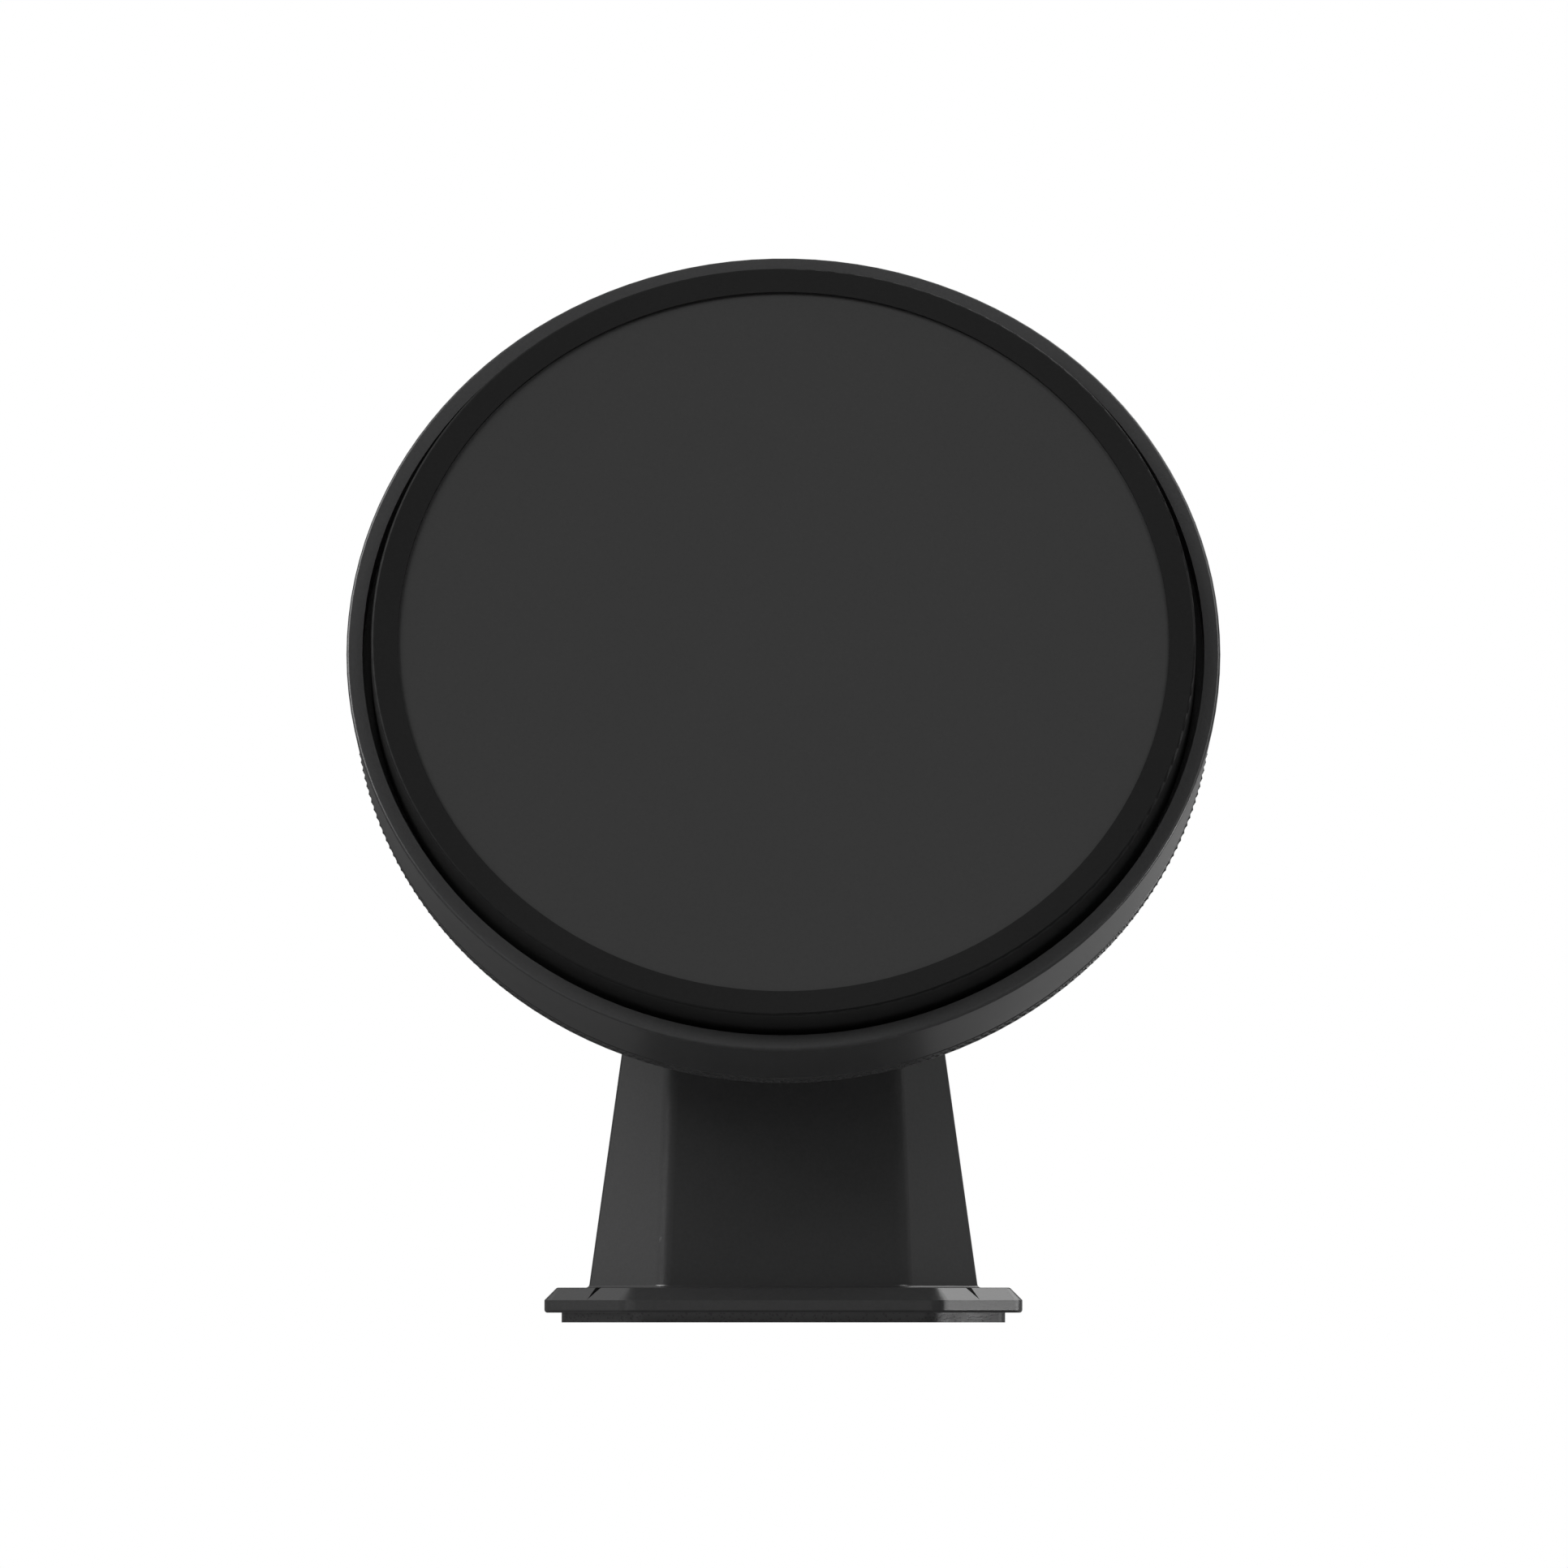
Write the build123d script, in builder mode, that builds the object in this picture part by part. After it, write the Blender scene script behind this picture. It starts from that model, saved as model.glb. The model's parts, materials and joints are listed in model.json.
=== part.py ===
"""Binnacle compass: a tilted round head on an eight-sided tapered pedestal, with its
protective cover fitted. Millimetres, +Z up, front towards -Y, origin on the deck
under the middle of the base gasket."""

from build123d import *
from math import asin, cos, radians, sin, sqrt, tan
import os

os.makedirs("parts", exist_ok=True)

# ---------------------------------------------------------------- driving dimensions
HEAD_TILT = 25.0  # the window leans back by this angle
RIM_RADIUS = 65.0  # outer edge of the head at its front
RIM_HEIGHT = 99.43  # centre of the rim's front plane above the deck
RIM_EDGE_RADIUS = 0.4
GIMBAL_DEPTH = 40.0  # gimbal centre behind the rim plane, on the pedestal's axis

SIDE_DEPTH = 14.7  # rim plane to the back of the knurled edge
PARTING_DEPTH = 12.6  # rim plane to the joint between the two shells
BACK_EDGE_RADIUS = 63.6
LEDGE_DEPTH = 16.6  # flat back of the rear shell's flange, where its screws sit
DOME_HALF_ANGLE = 12.0  # cone between the flange and the round back of the shell
DOME_RADIUS = 46.0
DOME_WALL = 2.4

CHANNEL_RADIUS = 62.6  # the rim's inner wall, round the cover
CHANNEL_DEPTH = 6.0
COLLAR_RADIUS = 58.7  # upstand that the cover fits over
COLLAR_TOP = 1.6
COVER_RADIUS = 61.3
COVER_PROUD = 4.26
PANEL_RADIUS = 57.35
PANEL_SINK = 0.45

BOWL_RADIUS = 40.5
BOWL_WALL = 2.0
BOWL_HALF_ANGLE = 12.0
LENS_RADIUS = 52.2
LENS_DOME = 1.2
SEAT_DEPTH = 6.45  # shelf that the bowl's flange rests on

BASE_HALF = 35.53  # flange half-width, and half-width of its flat front edge
BASE_FLAT = 23.5
GASKET_HALF = 32.97
GASKET_FLAT = 22.4
GASKET_HEIGHT = 1.45
FLANGE_TOP = 5.19
FLANGE_CHAMFER = 1.87
COLUMN_FOOT_HALF = 28.91  # column at the flange's top, and the same 40 mm higher
COLUMN_FOOT_FLAT = 18.2
COLUMN_DRAFT = 8.0
FLAT_NARROWING = 0.04  # how much each flat's half-width loses per millimetre of height
COLUMN_REACH = 48.0
COLUMN_WALL = 3.0
COLUMN_EDGE_RADIUS = 3.5  # beside its front and back faces
COLUMN_SIDE_EDGE_RADIUS = 0.8  # beside its two side faces
SADDLE_GAP = 1.2

DECK_HOLE_SPACING = 51.4
DECK_HOLE_RADIUS = 2.0
DECK_SINK_RADIUS = 3.0
DECK_SINK_DEPTH = 1.6

CARD_RADIUS = 29.5
CARD_LOW = 3.5  # card's lower and upper edge above the gimbal centre
CARD_HIGH = 10.0
RING_OUTER = 35.3
RING_INNER = 33.3
RING_HALF_HEIGHT = 1.5

SLIP = 0.05  # running clearance of a pin in its hole
REST = 0.02  # gap left between pieces that rest on each other

# ---------------------------------------------------------------- places and axes
tilt = radians(HEAD_TILT)
FRONT = Vector(0, -cos(tilt), sin(tilt))
RIM_CENTRE = Vector(0, -GIMBAL_DEPTH * cos(tilt), RIM_HEIGHT)
GIMBAL = RIM_CENTRE - FRONT * GIMBAL_DEPTH
HEAD_AXIS = Axis(RIM_CENTRE, FRONT)
HEAD_PROFILE = Plane(origin=RIM_CENTRE, x_dir=(1, 0, 0), z_dir=(0, -sin(tilt), -cos(tilt)))
CARD_AXIS = Axis(GIMBAL, (0, 0, 1))
CARD_PROFILE = Plane(origin=GIMBAL, x_dir=(1, 0, 0), z_dir=(0, -1, 0))


def head_plane(height):
    """Plane across the head, that far in front of the rim plane, with +Y up the face."""
    return Plane(origin=RIM_CENTRE + FRONT * height, x_dir=(1, 0, 0), z_dir=FRONT)


def level_plane(height):
    """Level plane that far above the gimbal centre."""
    return Plane(origin=GIMBAL + Vector(0, 0, height))


def turn(*points, profile=HEAD_PROFILE, axis=HEAD_AXIS, mode=Mode.ADD):
    """Turn a closed outline of (radius, height) points."""
    with BuildSketch(profile) as outline:
        with BuildLine():
            Polyline(*points, close=True)
        make_face()
    revolve(outline.sketch, axis=axis, mode=mode)


def turn_card(*points, mode=Mode.ADD):
    """Turn an outline about the card's upright axis, heights from the gimbal centre."""
    turn(*points, profile=CARD_PROFILE, axis=CARD_AXIS, mode=mode)


def turn_dome(sphere_radius, half_angle, front_height, mode=Mode.ADD):
    """Solid dome: a cone from front_height back to a sphere about the gimbal centre."""
    a = radians(half_angle)
    meet = (sphere_radius * cos(a), -GIMBAL_DEPTH - sphere_radius * sin(a))
    b = (a + radians(90)) / 2
    middle = (sphere_radius * cos(b), -GIMBAL_DEPTH - sphere_radius * sin(b))
    back = (0, -GIMBAL_DEPTH - sphere_radius)
    rim = (sphere_radius + (front_height + GIMBAL_DEPTH) * sin(a)) / cos(a)
    with BuildSketch(HEAD_PROFILE) as outline:
        with BuildLine():
            Polyline((0, front_height), (rim, front_height), meet)
            ThreePointArc(meet, middle, back)
            Line(back, (0, front_height))
        make_face()
    revolve(outline.sketch, axis=HEAD_AXIS, mode=mode)


def octagon(plane, half, flat):
    """Square section with its four corners cut, flats half as long as stated."""
    with BuildSketch(plane) as section:
        with BuildLine():
            Polyline(
                (half, -flat), (half, flat), (flat, half), (-flat, half),
                (-half, flat), (-half, -flat), (-flat, -half), (flat, -half), close=True,
            )
        make_face()
    return section.sketch


def column_half(height):
    """Half-width of the column at a height."""
    return COLUMN_FOOT_HALF - (height - FLANGE_TOP) * tan(radians(COLUMN_DRAFT))


def column_section(height, inset=0.0):
    """Section of the column at a height, moved in by a wall thickness."""
    flat = COLUMN_FOOT_FLAT - (height - FLANGE_TOP) * FLAT_NARROWING - inset * (sqrt(2) - 1)
    return octagon(Plane.XY.offset(height), column_half(height) - inset, flat)


def beside_side_face(edge):
    """Whether an upright edge of the column bounds one of its side faces."""
    middle = edge.position_at(0.5)
    return abs(middle.X) > abs(middle.Y)


def column_uprights(part):
    """The column's edges that run up it."""
    return part.edges().filter_by(lambda edge: abs(edge.tangent_at(0.5).Z) > 0.9)


def around(radius, count, start=0.0):
    """Points evenly spaced on a circle."""
    turns = [radians(start + 360 / count * i) for i in range(count)]
    return [(radius * cos(a), radius * sin(a)) for a in turns]


def corners(half_x, half_y):
    """The four corners of a rectangle."""
    return [(x, y) for x in (-half_x, half_x) for y in (-half_y, half_y)]


def rods(plane, points, radius, length, mode=Mode.ADD):
    """Round bars that stand on a plane at several points, or run behind it."""
    with BuildSketch(plane) as section:
        with Locations(*points):
            Circle(radius)
    extrude(section.sketch, amount=length, mode=mode)


def holes(plane, points, radius, depth):
    """Round holes from a plane back to a depth behind it."""
    rods(plane, points, radius, -depth, mode=Mode.SUBTRACT)


def screws(plane, points, head, shank):
    """Socket screws: heads (radius, height) stand on the plane, shanks (radius, length)
    run behind it."""
    rods(plane, points, head[0], head[1])
    rods(plane, points, shank[0], -shank[1])
    with BuildSketch(plane.offset(head[1])) as sockets:
        with Locations(*points):
            RegularPolygon(head[0] * 0.5, 6)
    extrude(sockets.sketch, amount=-head[1] * 0.6, mode=Mode.SUBTRACT)


def turn_seal(radius, height, section_radius):
    """Round-section ring about the head's axis."""
    with BuildSketch(HEAD_PROFILE) as section:
        with Locations((radius, height)):
            Circle(section_radius)
    revolve(section.sketch, axis=HEAD_AXIS)


def save(piece, name):
    """Label a finished piece and write it under its own name."""
    piece.part.label = name
    export_step(piece.part, f"parts/{name}.step")


# ---------------------------------------------------------------- base and pedestal
CAVITY_TOP = COLUMN_REACH - 2
UNDER_DECK = Plane.XY
FLANGE_PLANE = Plane.XY.offset(FLANGE_TOP)
DECK_HOLES = corners(DECK_HOLE_SPACING / 2, DECK_HOLE_SPACING / 2)
DRAIN = [(29.2, 29.75), (24.1, 28.6), (25.5, 26.1)]  # its tip at the flange's edge, then its root
DRAIN_DEPTH = 1.8
CORNER_RADIUS = 3.6
FOOT_RADIUS = 0.5
FLANGE_UNDER_RADIUS = 0.45

SADDLE_SCREWS = corners(12.5, 12.5)
SADDLE_SCREW_RADIUS = 1.5
SADDLE_PAD_RADIUS = 3.6
SADDLE_PAD = Plane.XY.offset(34.4)  # flat under the saddle where the washers sit
SADDLE_PAD_HEIGHT = 3.0
WASHER_HEIGHT = 0.6
WASHER_RADIUS = 3.4
SADDLE_SCREW_TOP = 43.0
SADDLE_SCREW_HEAD = (2.8, 1.7)
GROMMET_RADIUS = 4.0
GROMMET_FLANGE = (5.6, 1.1)  # radius and height of the flange below the saddle
GROMMET_LIP = (5.0, 0.9)  # the same of the lip above it
GROMMET_LOW = 31.0
GROMMET_LENGTH = 9.3
GROMMET_BORE = 2.2

FRAME_HALF = 15.0  # compensator frame, inside the column
FRAME_WALL = 2.5
FRAME_LOW = 12.5
FRAME_HIGH = 30.5
FRAME_EARS = [(0, -18.0), (0, 18.0)]
EAR_SIZE = (7.0, 8.0)
EAR_HEIGHT = 2.0
FRAME_POST_RADIUS = 3.0
FRAME_POST_LENGTH = 6.0
FRAME_SCREW_RADIUS = 1.25
FRAME_SCREW_HEAD = (2.4, 1.6)
FRAME_SCREW_LENGTH = 6.5
ADJUSTER_RADIUS = 2.0
SIDE_ADJUSTER_HEIGHT = 26.0
REAR_ADJUSTER_HEIGHT = 17.0
ADJUSTER_SINK = 0.7  # adjuster's slotted end behind the column's outer face



def adjuster_bores(back=0.0):
    """Bores for the two compensator adjusters, from the column's outside to that far
    past its middle."""
    ways = [((1, 0, 0), SIDE_ADJUSTER_HEIGHT), ((0, 1, 0), REAR_ADJUSTER_HEIGHT)]
    for way, height in ways:
        outside = Plane(origin=(0, 0, height), z_dir=way).offset(BASE_HALF)
        holes(outside, [(0, 0)], ADJUSTER_RADIUS + SLIP, BASE_HALF + back)


with BuildPart() as column_cavity:
    loft([column_section(0, COLUMN_WALL), column_section(CAVITY_TOP, COLUMN_WALL)], ruled=True)
    turn_dome(DOME_RADIUS + SADDLE_GAP + COLUMN_WALL, DOME_HALF_ANGLE, -LEDGE_DEPTH, mode=Mode.SUBTRACT)

with BuildPart() as base_gasket:
    extrude(octagon(UNDER_DECK, GASKET_HALF, GASKET_FLAT), amount=GASKET_HEIGHT)
    fillet(base_gasket.edges().filter_by(Axis.Z), CORNER_RADIUS)
    add(column_cavity.part, mode=Mode.SUBTRACT)
    holes(Plane.XY.offset(GASKET_HEIGHT), DECK_HOLES, DECK_HOLE_RADIUS, GASKET_HEIGHT)
save(base_gasket, "base_gasket")

with BuildPart() as column:
    loft([column_section(FLANGE_TOP), column_section(COLUMN_REACH)], ruled=True)
    fillet(column_uprights(column).filter_by(beside_side_face), COLUMN_SIDE_EDGE_RADIUS)
    fillet(column_uprights(column).filter_by(beside_side_face, reverse=True), COLUMN_EDGE_RADIUS)

with BuildPart() as pedestal:
    extrude(octagon(Plane.XY.offset(GASKET_HEIGHT), BASE_HALF, BASE_FLAT), amount=FLANGE_TOP - GASKET_HEIGHT)
    fillet(pedestal.edges().filter_by(Axis.Z), CORNER_RADIUS)
    chamfer(pedestal.faces().sort_by(Axis.Z)[-1].edges(), FLANGE_CHAMFER)
    fillet(pedestal.faces().sort_by(Axis.Z)[0].edges(), FLANGE_UNDER_RADIUS)
    add(column.part)
    reach = COLUMN_FOOT_HALF + 0.1
    foot = pedestal.edges().filter_by_position(Axis.Z, FLANGE_TOP - 0.01, FLANGE_TOP + 0.01)
    foot = foot.filter_by_position(Axis.X, -reach, reach).filter_by_position(Axis.Y, -reach, reach)
    fillet(foot, FOOT_RADIUS)
    turn_dome(DOME_RADIUS + SADDLE_GAP, DOME_HALF_ANGLE, -LEDGE_DEPTH, mode=Mode.SUBTRACT)
    add(column_cavity.part, mode=Mode.SUBTRACT)
    # pads under the saddle, and posts for the compensator frame
    rods(SADDLE_PAD, SADDLE_SCREWS, SADDLE_PAD_RADIUS, SADDLE_PAD_HEIGHT)
    holes(Plane.XY.offset(SADDLE_SCREW_TOP), SADDLE_SCREWS, SADDLE_SCREW_RADIUS + REST, SADDLE_SCREW_TOP)
    rods(Plane.XY.offset(FRAME_HIGH + REST), FRAME_EARS, FRAME_POST_RADIUS, FRAME_POST_LENGTH)
    holes(Plane.XY.offset(FRAME_HIGH + 5), FRAME_EARS, FRAME_SCREW_RADIUS + REST, 5)
    holes(Plane.XY.offset(COLUMN_REACH), [(0, 0)], GROMMET_RADIUS + REST, COLUMN_REACH)
    # counterbored deck holes, each drained through the corner of the flange
    holes(FLANGE_PLANE, DECK_HOLES, DECK_HOLE_RADIUS, FLANGE_TOP)
    holes(FLANGE_PLANE, DECK_HOLES, DECK_SINK_RADIUS, DECK_SINK_DEPTH)
    with BuildSketch(FLANGE_PLANE) as drains:
        Polygon(*DRAIN, align=None)
        mirror(about=Plane.XZ)
        mirror(about=Plane.YZ)
    extrude(drains.sketch, amount=-DRAIN_DEPTH, mode=Mode.SUBTRACT)
    # bores for the two compensator adjusters
    adjuster_bores()
save(pedestal, "pedestal")

with BuildPart() as saddle_gasket:
    loft([column_section(FLANGE_TOP, 0.6), column_section(COLUMN_REACH, 0.6)], ruled=True)
    turn_dome(DOME_RADIUS + SADDLE_GAP - REST, DOME_HALF_ANGLE, -LEDGE_DEPTH, mode=Mode.INTERSECT)
    turn_dome(DOME_RADIUS + REST, DOME_HALF_ANGLE, -LEDGE_DEPTH, mode=Mode.SUBTRACT)
    holes(Plane.XY.offset(SADDLE_SCREW_TOP), SADDLE_SCREWS, SADDLE_SCREW_RADIUS + REST, SADDLE_SCREW_TOP)
    holes(Plane.XY.offset(COLUMN_REACH), [(0, 0)], GROMMET_RADIUS + REST, COLUMN_REACH)
save(saddle_gasket, "saddle_gasket")

WASHER_FACE = SADDLE_PAD.offset(-WASHER_HEIGHT - REST)
with BuildPart() as saddle_washers:
    rods(WASHER_FACE, SADDLE_SCREWS, WASHER_RADIUS, WASHER_HEIGHT)
    holes(SADDLE_PAD, SADDLE_SCREWS, SADDLE_SCREW_RADIUS + SLIP, WASHER_HEIGHT + 1)
save(saddle_washers, "saddle_washers")

LOOKING_DOWN = Plane(origin=WASHER_FACE.origin - Vector(0, 0, REST), x_dir=(1, 0, 0), z_dir=(0, 0, -1))
SADDLE_SCREW_LENGTH = SADDLE_SCREW_TOP - LOOKING_DOWN.origin.Z - 0.2
with BuildPart() as saddle_screws:
    screws(LOOKING_DOWN, SADDLE_SCREWS, SADDLE_SCREW_HEAD, (SADDLE_SCREW_RADIUS, SADDLE_SCREW_LENGTH))
save(saddle_screws, "saddle_screws")

with BuildPart() as cable_grommet:
    bottom = Plane.XY.offset(GROMMET_LOW)
    top = bottom.offset(GROMMET_LENGTH)
    rods(bottom, [(0, 0)], *GROMMET_FLANGE)
    rods(bottom, [(0, 0)], GROMMET_RADIUS, GROMMET_LENGTH)
    rods(top.offset(-GROMMET_LIP[1]), [(0, 0)], *GROMMET_LIP)
    holes(top, [(0, 0)], GROMMET_BORE, GROMMET_LENGTH)
save(cable_grommet, "cable_grommet")

# ---------------------------------------------------------------- compensator
with BuildPart() as compensator_frame:
    with BuildSketch(Plane.XY.offset(FRAME_LOW)):
        Rectangle(2 * FRAME_HALF, 2 * FRAME_HALF)
        Rectangle(2 * (FRAME_HALF - FRAME_WALL), 2 * (FRAME_HALF - FRAME_WALL), mode=Mode.SUBTRACT)
    extrude(amount=FRAME_HIGH - FRAME_LOW)
    with BuildSketch(Plane.XY.offset(FRAME_HIGH - EAR_HEIGHT)):
        with Locations(*FRAME_EARS):
            Rectangle(*EAR_SIZE)
        Rectangle(2 * FRAME_HALF - 1, 2 * FRAME_HALF - 1, mode=Mode.SUBTRACT)
    extrude(amount=EAR_HEIGHT)
    holes(Plane.XY.offset(FRAME_HIGH), FRAME_EARS, FRAME_SCREW_RADIUS + SLIP, EAR_HEIGHT + 1)
    adjuster_bores(back=FRAME_HALF)
save(compensator_frame, "compensator_frame")

EAR_UNDERSIDE = Plane(origin=(0, 0, FRAME_HIGH - EAR_HEIGHT - REST), x_dir=(1, 0, 0), z_dir=(0, 0, -1))
with BuildPart() as frame_screws:
    screws(EAR_UNDERSIDE, FRAME_EARS, FRAME_SCREW_HEAD, (FRAME_SCREW_RADIUS, FRAME_SCREW_LENGTH))
save(frame_screws, "frame_screws")

MAGNET_HALF = 4.0
MAGNET_RADIUS = 1.0
ADJUSTER_TAIL = FRAME_HALF + 0.5
ADJUSTER_COLLAR = (3.0, 2.0)  # radius and width of the two collars inside the frame
ADJUSTER_SLOT = (5.0, 0.8)
ADJUSTER_SLOT_DEPTH = 1.0
ADJUSTERS = {
    "side": (Vector(1, 0, 0), SIDE_ADJUSTER_HEIGHT),
    "rear": (Vector(0, 1, 0), REAR_ADJUSTER_HEIGHT),
}
for side, (along, height) in ADJUSTERS.items():
    across = Plane(origin=(0, 0, height), x_dir=(0, 0, 1), z_dir=along)
    reach = column_half(height) - ADJUSTER_SINK
    collar = FRAME_HALF - FRAME_WALL - SLIP
    upright = Plane.XY.offset(height - MAGNET_HALF)
    with BuildPart() as adjuster:
        rods(across.offset(-ADJUSTER_TAIL), [(0, 0)], ADJUSTER_RADIUS, reach + ADJUSTER_TAIL)
        rods(across.offset(collar - ADJUSTER_COLLAR[1]), [(0, 0)], *ADJUSTER_COLLAR)
        rods(across.offset(-collar), [(0, 0)], *ADJUSTER_COLLAR)
        rods(upright, [(0, 0)], MAGNET_RADIUS + REST, 2 * MAGNET_HALF, mode=Mode.SUBTRACT)
        with BuildSketch(across.offset(reach)):
            Rectangle(*ADJUSTER_SLOT)
        extrude(amount=-ADJUSTER_SLOT_DEPTH, mode=Mode.SUBTRACT)
    save(adjuster, f"{side}_adjuster")
    with BuildPart() as magnet:
        rods(upright, [(0, 0)], MAGNET_RADIUS, 2 * MAGNET_HALF)
    save(magnet, f"{side}_adjuster_magnet")

# ---------------------------------------------------------------- head shells
SHELL_SCREWS = around(56.0, 6)
SHELL_SCREW_RADIUS = 1.3
SHELL_SCREW_HEAD = (2.6, 1.7)
SHELL_SCREW_LENGTH = 7.2
SHELL_SCREW_SINK = (2.8, 1.4)  # radius and depth of each counterbore
SHELL_BOSS_RADIUS = 3.4
LENS_RING_SCREWS = around(54.1, 6, start=30)
LENS_SCREW_RADIUS = 0.9
LENS_SCREW_LENGTH = 5.8
LENS_SCREW_HEAD = (1.7, 0.68)
LAMP_SCREWS = [(-17.5, 52.0), (17.5, 52.0)]
LAMP_SCREW_RADIUS = 0.9
COVER_GROOVE = (57.8, -1.1, -2.9)  # floor radius, upper and lower edge
PARTING_RADIUS = RIM_RADIUS - (RIM_RADIUS - BACK_EDGE_RADIUS) * PARTING_DEPTH / SIDE_DEPTH
PARTING_NOTCH = 0.25
SEAL_RADIUS = 60.8
SEAL_SECTION = 0.6
SEAL_GROOVE = (0.85, 1.25)  # half-width and depth
COVER_SEAL_RADIUS = 58.5
COVER_SEAL_SECTION = 0.68
FLOOR_BACK = -8.6  # back of the channel floor and of the lens seat
SADDLE_BOSS_LOW = 37.0
SADDLE_BOSS_HEIGHT = 7.0
LAMP_BOARD_FRONT = FLOOR_BACK - REST

with BuildPart() as front_shell:
    turn(
        (49.6, FLOOR_BACK), (49.6, -SEAT_DEPTH), (52.4, -SEAT_DEPTH), (52.4, -0.05), (56.2, -0.05),
        (56.2, COLLAR_TOP), (COLLAR_RADIUS, COLLAR_TOP), (COLLAR_RADIUS, -CHANNEL_DEPTH),
        (CHANNEL_RADIUS, -CHANNEL_DEPTH), (CHANNEL_RADIUS, 0), (RIM_RADIUS, 0),
        (PARTING_RADIUS + 0.02, PARTING_NOTCH - PARTING_DEPTH),
        (PARTING_RADIUS - PARTING_NOTCH, -PARTING_DEPTH), (59.7, -PARTING_DEPTH), (59.7, FLOOR_BACK),
    )
    rim_edges = front_shell.edges().filter_by(GeomType.CIRCLE).sort_by(SortBy.RADIUS)
    fillet(rim_edges[-1], RIM_EDGE_RADIUS)
    rods(head_plane(-PARTING_DEPTH), SHELL_SCREWS, SHELL_BOSS_RADIUS, PARTING_DEPTH + FLOOR_BACK + 0.5)
    rods(head_plane(-PARTING_DEPTH), SHELL_SCREWS, SHELL_SCREW_RADIUS + REST, 5.0, mode=Mode.SUBTRACT)
    holes(head_plane(0), LENS_RING_SCREWS, LENS_SCREW_RADIUS + REST, 5.5)
    # groove for the cover's seal, round the collar
    floor, upper, lower = COVER_GROOVE
    turn((floor, upper), (CHANNEL_RADIUS - 2, upper), (CHANNEL_RADIUS - 2, lower), (floor, lower),
         mode=Mode.SUBTRACT)
    rods(head_plane(FLOOR_BACK - 0.4), LAMP_SCREWS, LAMP_SCREW_RADIUS + REST, 2.5, mode=Mode.SUBTRACT)
save(front_shell, "front_shell")

with BuildPart() as cover_seal:
    turn_seal(COVER_SEAL_RADIUS, (COVER_GROOVE[1] + COVER_GROOVE[2]) / 2, COVER_SEAL_SECTION)
save(cover_seal, "cover_seal")

with BuildPart() as saddle_bosses:
    rods(Plane.XY.offset(SADDLE_BOSS_LOW), SADDLE_SCREWS, SHELL_BOSS_RADIUS, SADDLE_BOSS_HEIGHT)
    turn_dome(DOME_RADIUS, DOME_HALF_ANGLE, -LEDGE_DEPTH, mode=Mode.INTERSECT)

with BuildPart() as rear_shell:
    turn_dome(DOME_RADIUS, DOME_HALF_ANGLE, -LEDGE_DEPTH)
    turn(
        (0, -PARTING_DEPTH), (PARTING_RADIUS - PARTING_NOTCH, -PARTING_DEPTH),
        (PARTING_RADIUS - 0.02, -PARTING_DEPTH - PARTING_NOTCH), (BACK_EDGE_RADIUS, -SIDE_DEPTH),
        (62.0, -LEDGE_DEPTH), (0, -LEDGE_DEPTH),
    )
    turn_dome(DOME_RADIUS - DOME_WALL, DOME_HALF_ANGLE, -PARTING_DEPTH, mode=Mode.SUBTRACT)
    add(saddle_bosses.part)
    half, depth = SEAL_GROOVE
    turn(
        (SEAL_RADIUS - half, -PARTING_DEPTH), (SEAL_RADIUS + half, -PARTING_DEPTH),
        (SEAL_RADIUS + half, -PARTING_DEPTH - depth), (SEAL_RADIUS - half, -PARTING_DEPTH - depth),
        mode=Mode.SUBTRACT,
    )
    holes(head_plane(-PARTING_DEPTH), SHELL_SCREWS, SHELL_SCREW_RADIUS + SLIP, 5)
    sink_radius, sink = SHELL_SCREW_SINK
    rods(head_plane(-LEDGE_DEPTH - 1), SHELL_SCREWS, sink_radius, 1 + sink, mode=Mode.SUBTRACT)
    holes(Plane.XY.offset(SADDLE_SCREW_TOP), SADDLE_SCREWS, SADDLE_SCREW_RADIUS + REST, 8)
    holes(Plane.XY.offset(42), [(0, 0)], GROMMET_RADIUS + REST, 8)
save(rear_shell, "rear_shell")

with BuildPart() as shell_seal:
    turn_seal(SEAL_RADIUS, -PARTING_DEPTH - SEAL_SECTION - REST, SEAL_SECTION)
save(shell_seal, "shell_seal")

SHELL_SCREW_SEAT = -LEDGE_DEPTH + SHELL_SCREW_SINK[1] - REST
BEHIND_HEAD = Plane(origin=RIM_CENTRE + FRONT * SHELL_SCREW_SEAT, x_dir=(1, 0, 0), z_dir=-FRONT)
with BuildPart() as shell_screws:
    screws(BEHIND_HEAD, [(x, -y) for x, y in SHELL_SCREWS], SHELL_SCREW_HEAD,
           (SHELL_SCREW_RADIUS, SHELL_SCREW_LENGTH))
save(shell_screws, "shell_screws")

# ---------------------------------------------------------------- capsule
SEAT = -SEAT_DEPTH + REST
BOWL_FLANGE_FRONT = -4.42
LENS_BACK = -3.6
DIAPHRAGM_DEPTH = 38.0  # seat of the diaphragm's boss, behind the gimbal centre
DIAPHRAGM_RADIUS = 11.0
DIAPHRAGM_HEIGHT = 0.5
DIAPHRAGM_PORT = 7.0
DIAPHRAGM_SCREWS = around(9.0, 4)
DIAPHRAGM_SCREW_RADIUS = 0.6
BOSS_HEIGHT = 2.0
FILLER_ANGLE = 50.0  # the filler hole points up and back
FILLER_DEPTH = 38.6
FILLER_BOSS_RADIUS = 4.2
FILLER_BOSS_HEIGHT = 2.4
PLUG_RADIUS = 2.5
PLUG_LENGTH = 3.0
PLUG_HEAD = (4.0, 1.2)
PLUG_SLOT = (9.0, 0.8)
PLUG_SLOT_DEPTH = 0.7
PLUG_SEAL_RADIUS = 3.9
PLUG_SEAL_HEIGHT = 0.58
GIMBAL_PIN_RADIUS = 1.2
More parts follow.
